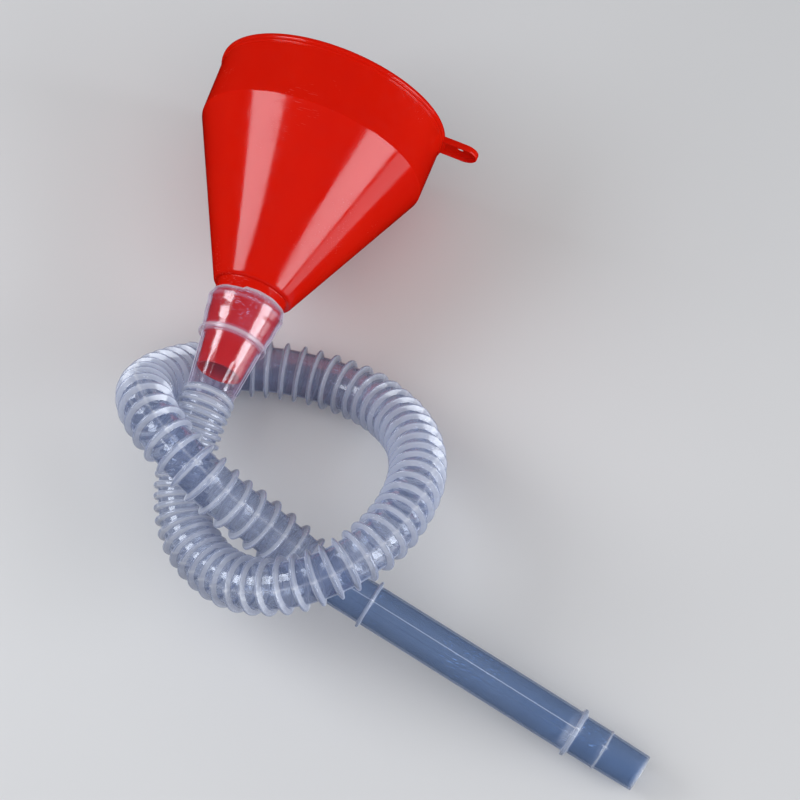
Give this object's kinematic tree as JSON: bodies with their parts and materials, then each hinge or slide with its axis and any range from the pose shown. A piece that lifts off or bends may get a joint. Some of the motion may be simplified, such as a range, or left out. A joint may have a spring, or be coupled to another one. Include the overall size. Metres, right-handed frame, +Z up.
{
  "type": "funnel with pleated hose",
  "caption": "Wide moulded funnel lying on its side, with a clear pleated hose tied in a loose knot and a straight stepped outlet tube.",
  "frame": {"origin": "on the surface the object lies on, under the middle of the funnel's bounding box (hanging tab and spout included, hose left out)", "axes": "+Y along the funnel's axis, out of its mouth; +Z up; +X towards the hanging tab"},
  "size_m": [0.3602, 0.3106, 0.135],
  "materials": {
    "funnel_red": "glossy moulded polyethylene",
    "strainer_red": "satin moulded polyethylene",
    "gauze_brass": "woven wire",
    "hose_clear": "translucent blow-moulded polyethylene, slightly milky"
  },
  "bodies": {
    "hose": {"bellows_hose": "hose_clear", "bellows_end": "hose_clear"},
    "cuff": {"hose_cuff": "hose_clear"},
    "funnel": {"funnel_body": "funnel_red"},
    "strainer": {"strainer_ring": "strainer_red", "strainer_gauze": "gauze_brass"},
    "outlet": {"outlet_tube": "hose_clear"}
  },
  "joints": [
    {"name": "cuff_swivel", "type": "hinge", "parent": "hose", "child": "cuff", "pos_m": [-0.01, -0.103, 0.0675], "axis": [0, 1, 0], "continuous": true},
    {"name": "spout_pull_off", "type": "slide", "parent": "cuff", "child": "funnel", "axis": [0, 1, 0], "range_m": [0, 0.06]},
    {"name": "strainer_lift_out", "type": "slide", "parent": "funnel", "child": "strainer", "axis": [0, 1, 0], "range_m": [0, 0.15]},
    {"name": "outlet_swing", "type": "hinge", "parent": "hose", "child": "outlet", "pos_m": [0.0795, -0.1743, 0.0492], "axis": [0, 0, 1], "range_deg": [-20, 20], "stiffness_Nm_per_rad": 0.1, "deforming": ["bellows_end"]}
  ]
}
